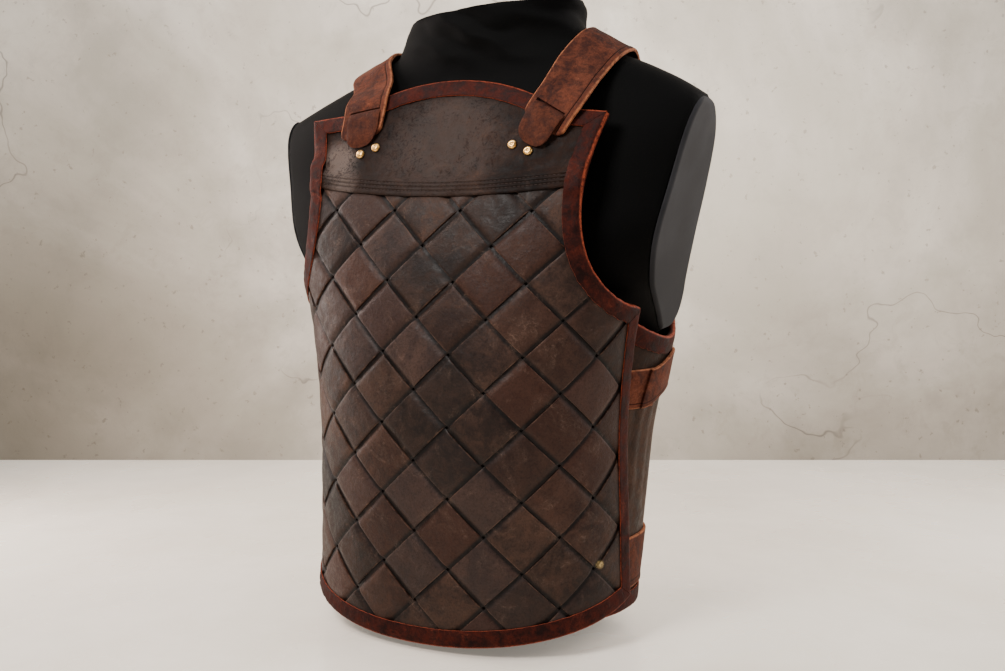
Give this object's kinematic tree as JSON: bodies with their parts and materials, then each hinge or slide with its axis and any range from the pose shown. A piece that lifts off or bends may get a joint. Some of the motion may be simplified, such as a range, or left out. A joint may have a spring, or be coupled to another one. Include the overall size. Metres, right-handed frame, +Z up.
{
  "type": "woven leather body armour on a torso dress form",
  "caption": "Sleeveless body armour of plaited leather strips under a leather bib, with bound edges and straps, worn by a limbless torso dress form.",
  "frame": {"origin": "middle of the bounding box's base, on the surface that the form stands on", "axes": "+Z up, the front faces -Y, the wearer's left is +X"},
  "size_m": [0.4814, 0.2766, 0.6453],
  "materials": {
    "strip": "worn, waxed",
    "backing": "matt",
    "bib": "worn, waxed",
    "binding": "worn at the edge",
    "strap": "suede, worn",
    "back": "matt",
    "brass": "polished",
    "form": "stretched black jersey",
    "plate": "stretched grey jersey"
  },
  "bodies": {
    "root": {"arm_plate_left": "plate", "arm_plate_right": "plate", "back_binding_armhole_left": "binding", "back_binding_armhole_right": "binding", "back_binding_hem": "binding", "back_binding_top": "binding", "back_panel": "back", "back_rivet_left_1": "brass", "back_rivet_left_2": "brass", "back_rivet_right_1": "brass", "back_rivet_right_2": "brass", "bib": "bib", "bib_rivet_left_1": "brass", "bib_rivet_left_2": "brass", "bib_rivet_right_1": "brass", "bib_rivet_right_2": "brass", "dress_form": "form", "front_backing": "backing", "front_binding_armhole_left": "binding", "front_binding_armhole_right": "binding", "front_binding_hem": "binding", "front_binding_side_left": "binding", "front_binding_side_right": "binding", "front_binding_top": "binding", "shoulder_strap_left": "strap", "shoulder_strap_right": "strap", "shoulder_tab_left": "strap", "shoulder_tab_right": "strap", "side_strap_lower_left": "strap", "side_strap_lower_right": "strap", "side_strap_upper_left": "strap", "side_strap_upper_right": "strap", "side_tab_upper_left": "strap", "side_tab_upper_right": "strap", "strip_falling_01": "strip", "strip_falling_02": "strip", "strip_falling_03": "strip", "strip_falling_04": "strip", "strip_falling_05": "strip", "strip_falling_06": "strip", "strip_falling_07": "strip", "strip_falling_08": "strip", "strip_falling_09": "strip", "strip_falling_10": "strip", "strip_falling_11": "strip", "strip_rising_01": "strip", "strip_rising_02": "strip", "strip_rising_03": "strip", "strip_rising_04": "strip", "strip_rising_05": "strip", "strip_rising_06": "strip", "strip_rising_07": "strip", "strip_rising_08": "strip", "strip_rising_09": "strip", "strip_rising_10": "strip", "strip_rising_11": "strip"}
  },
  "joints": []
}
